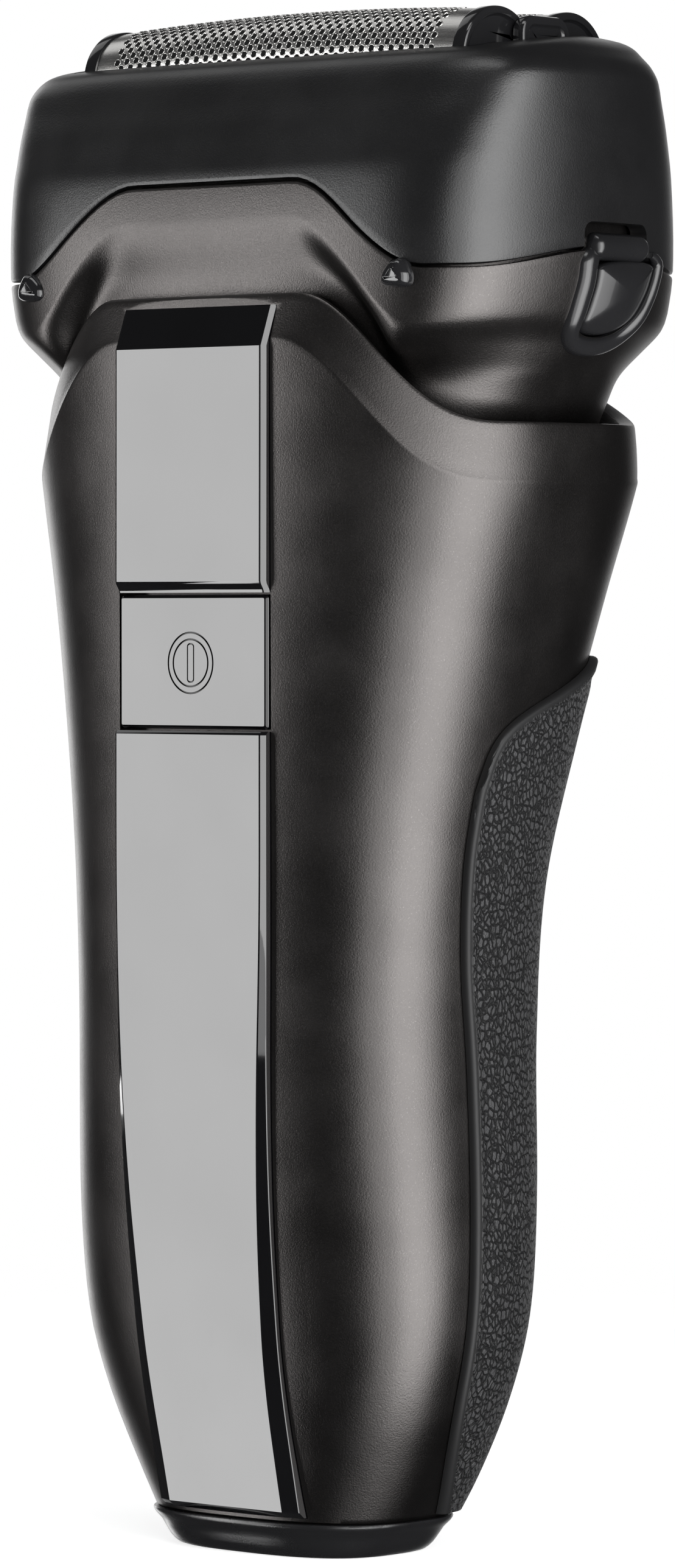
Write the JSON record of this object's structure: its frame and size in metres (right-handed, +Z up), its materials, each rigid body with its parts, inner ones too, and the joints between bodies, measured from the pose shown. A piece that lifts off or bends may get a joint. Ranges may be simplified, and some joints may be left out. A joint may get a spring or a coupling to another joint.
{
  "type": "foil shaver",
  "caption": "Cordless foil shaver: tilting head with floating foils and release buttons, rubber grip, glossy front panel with power button, flip-out trimmer.",
  "frame": {"origin": "centre of the flat under the base", "axes": "+Z up along the handle, +X to the right seen from the front panel, front panel faces -Y"},
  "size_m": [0.075, 0.0463, 0.1599],
  "materials": {
    "handle_plastic": "satin, fine grain",
    "frame_plastic": "satin, fine grain",
    "grip_rubber": "leather-grained",
    "gloss_black": "polished",
    "base_plastic": "fine satin",
    "inner_plastic": "moulded",
    "dark_inner_plastic": "moulded",
    "clear_guide": "frosted",
    "led_body": "moulded",
    "steel": "brushed",
    "foil_steel": "bright",
    "spring_steel": "bright",
    "core_steel": "laminated",
    "coil_copper": "enamelled",
    "contact_metal": "plated",
    "cell_sleeve": "shrunk sleeve",
    "circuit_board": "solder mask",
    "seal_rubber": "moulded"
  },
  "bodies": {
    "handle": {"handle_housing": "handle_plastic", "rubber_grip": "grip_rubber", "base_cap": "base_plastic", "base_screws": "steel", "charging_inlet": "dark_inner_plastic", "inlet_pins": "contact_metal", "upper_lens": "gloss_black", "lower_lens": "gloss_black", "button_seal": "seal_rubber", "inner_chassis": "inner_plastic", "battery_cell": "cell_sleeve", "battery_tabs": "contact_metal", "main_pcb": "circuit_board", "tact_switch": "dark_inner_plastic", "light_guide": "clear_guide", "status_leds": "led_body", "chassis_screws": "steel", "pivot_deck": "inner_plastic", "pivot_shaft": "steel", "tilt_spring": "spring_steel", "trimmer_hinge_pin": "steel"},
    "power_key": {"power_button": "gloss_black"},
    "trimmer_switch": {"trimmer_slider": "gloss_black"},
    "trimmer_arm": {"trimmer_cover": "handle_plastic", "trimmer_comb": "foil_steel"},
    "trimmer_blade": {"trimmer_cutter": "steel"},
    "head": {"head_base": "handle_plastic", "drive_deck": "dark_inner_plastic", "deck_screws": "steel", "motor_frame": "steel", "motor_core": "core_steel", "motor_coil": "coil_copper", "carriage_springs": "spring_steel"},
    "oscillator": {"motor_carriage": "core_steel", "drive_posts": "steel"},
    "front_inner_blade": {"front_blade_block": "steel", "front_blade_carrier": "inner_plastic"},
    "rear_inner_blade": {"rear_blade_block": "steel", "rear_blade_carrier": "inner_plastic"},
    "slit_inner_blade": {"slit_blade": "steel"},
    "frame": {"foil_frame": "frame_plastic", "foil_cassette": "dark_inner_plastic"},
    "front_outer_foil": {"front_foil": "foil_steel", "front_foil_caps": "gloss_black"},
    "rear_outer_foil": {"rear_foil": "foil_steel", "rear_foil_caps": "gloss_black"},
    "slit_outer_foil": {"slit_foil": "foil_steel", "slit_foil_caps": "gloss_black"},
    "release_right": {"release_button_right": "gloss_black"},
    "release_left": {"release_button_left": "gloss_black"}
  },
  "joints": [
    {"name": "head_tilt", "type": "hinge", "parent": "handle", "child": "head", "pos_m": [0, 0.0044, 0.1095], "axis": [0, 1, 0], "range_deg": [-3, 3], "stiffness_Nm_per_rad": 0.6},
    {"name": "power_press", "type": "slide", "parent": "handle", "child": "power_key", "axis": [0, 1, 0], "range_m": [0, 0.0008], "stiffness_N_per_m": 900},
    {"name": "trimmer_slide", "type": "slide", "parent": "handle", "child": "trimmer_switch", "axis": [0, 0.2151, 0.9766], "range_m": [0, 0.005]},
    {"name": "trimmer_hinge", "type": "hinge", "parent": "handle", "child": "trimmer_arm", "pos_m": [0, 0.02363, 0.108], "axis": [1, 0, 0], "range_deg": [0, 80]},
    {"name": "trimmer_stroke", "type": "slide", "parent": "trimmer_arm", "child": "trimmer_blade", "axis": [1, 0, 0], "range_m": [-0.0008, 0.0008]},
    {"name": "oscillation", "type": "slide", "parent": "head", "child": "oscillator", "axis": [1, 0, 0], "range_m": [-0.001, 0.001], "stiffness_N_per_m": 1500},
    {"name": "front_blade_float", "type": "slide", "parent": "oscillator", "child": "front_inner_blade", "axis": [0, 0, 1], "range_m": [-0.0012, 0]},
    {"name": "rear_blade_float", "type": "slide", "parent": "oscillator", "child": "rear_inner_blade", "axis": [0, 0, 1], "range_m": [-0.0012, 0]},
    {"name": "slit_blade_float", "type": "slide", "parent": "oscillator", "child": "slit_inner_blade", "axis": [0, 0, 1], "range_m": [-0.0012, 0]},
    {"name": "frame_lift", "type": "slide", "parent": "head", "child": "frame", "axis": [0, 0, 1], "range_m": [0, 0.03]},
    {"name": "front_foil_float", "type": "slide", "parent": "frame", "child": "front_outer_foil", "axis": [0, 0, 1], "range_m": [-0.0012, 0], "stiffness_N_per_m": 400, "springref_m": 0.0006},
    {"name": "rear_foil_float", "type": "slide", "parent": "frame", "child": "rear_outer_foil", "axis": [0, 0, 1], "range_m": [-0.0012, 0], "stiffness_N_per_m": 400, "springref_m": 0.0006},
    {"name": "slit_foil_float", "type": "slide", "parent": "frame", "child": "slit_outer_foil", "axis": [0, 0, 1], "range_m": [-0.0012, 0], "stiffness_N_per_m": 400, "springref_m": 0.0006},
    {"name": "right_release_press", "type": "slide", "parent": "head", "child": "release_right", "axis": [-1, 0, 0], "range_m": [0, 0.001], "stiffness_N_per_m": 900},
    {"name": "left_release_press", "type": "slide", "parent": "head", "child": "release_left", "axis": [1, 0, 0], "range_m": [0, 0.001], "stiffness_N_per_m": 900}
  ],
  "couplings": [
    {"joint": "trimmer_hinge", "follows": "trimmer_slide", "rad_per_m": 279.25},
    {"joint": "trimmer_stroke", "follows": "oscillation", "ratio": 0.8},
    {"joint": "front_blade_float", "follows": "front_foil_float", "ratio": 1},
    {"joint": "rear_blade_float", "follows": "rear_foil_float", "ratio": 1},
    {"joint": "slit_blade_float", "follows": "slit_foil_float", "ratio": 1}
  ]
}
